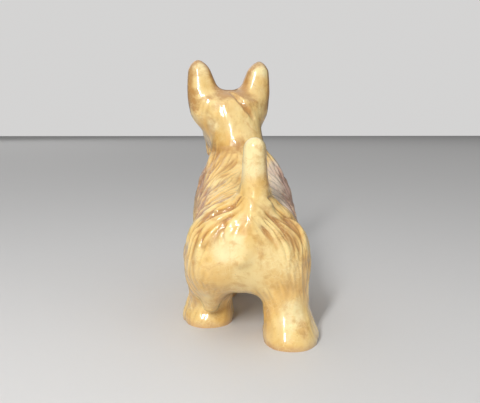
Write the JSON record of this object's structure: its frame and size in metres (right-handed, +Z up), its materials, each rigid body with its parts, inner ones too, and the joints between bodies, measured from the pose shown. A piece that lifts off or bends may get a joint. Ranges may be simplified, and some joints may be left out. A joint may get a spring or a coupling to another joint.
{
  "type": "terrier figurine",
  "caption": "Hollow glazed earthenware terrier standing with its head up under a honey glaze, modelled as torso, head, ear, tail and leg castings joined with slip.",
  "frame": {"origin": "centre of the bounding box in X and Y, on the plane that the feet stand on", "axes": "+Z up through the ears, -Y the way the dog faces, +X towards the dog's left side"},
  "size_m": [0.0574, 0.125, 0.121],
  "materials": {
    "glazed_body": "clear gloss glaze over honey and cream colours, crazed",
    "joining_slip": "fired slip of the same earthenware"
  },
  "bodies": {
    "root": {"ear_left": "glazed_body", "ear_left_slip_joint": "joining_slip", "ear_right": "glazed_body", "ear_right_slip_joint": "joining_slip", "head_casting": "glazed_body", "leg_fore_left": "glazed_body", "leg_fore_left_slip_joint": "joining_slip", "leg_fore_right": "glazed_body", "leg_fore_right_slip_joint": "joining_slip", "leg_hind_left": "glazed_body", "leg_hind_left_slip_joint": "joining_slip", "leg_hind_right": "glazed_body", "leg_hind_right_slip_joint": "joining_slip", "neck_slip_joint": "joining_slip", "tail": "glazed_body", "tail_slip_joint": "joining_slip", "torso_casting": "glazed_body"}
  },
  "joints": []
}
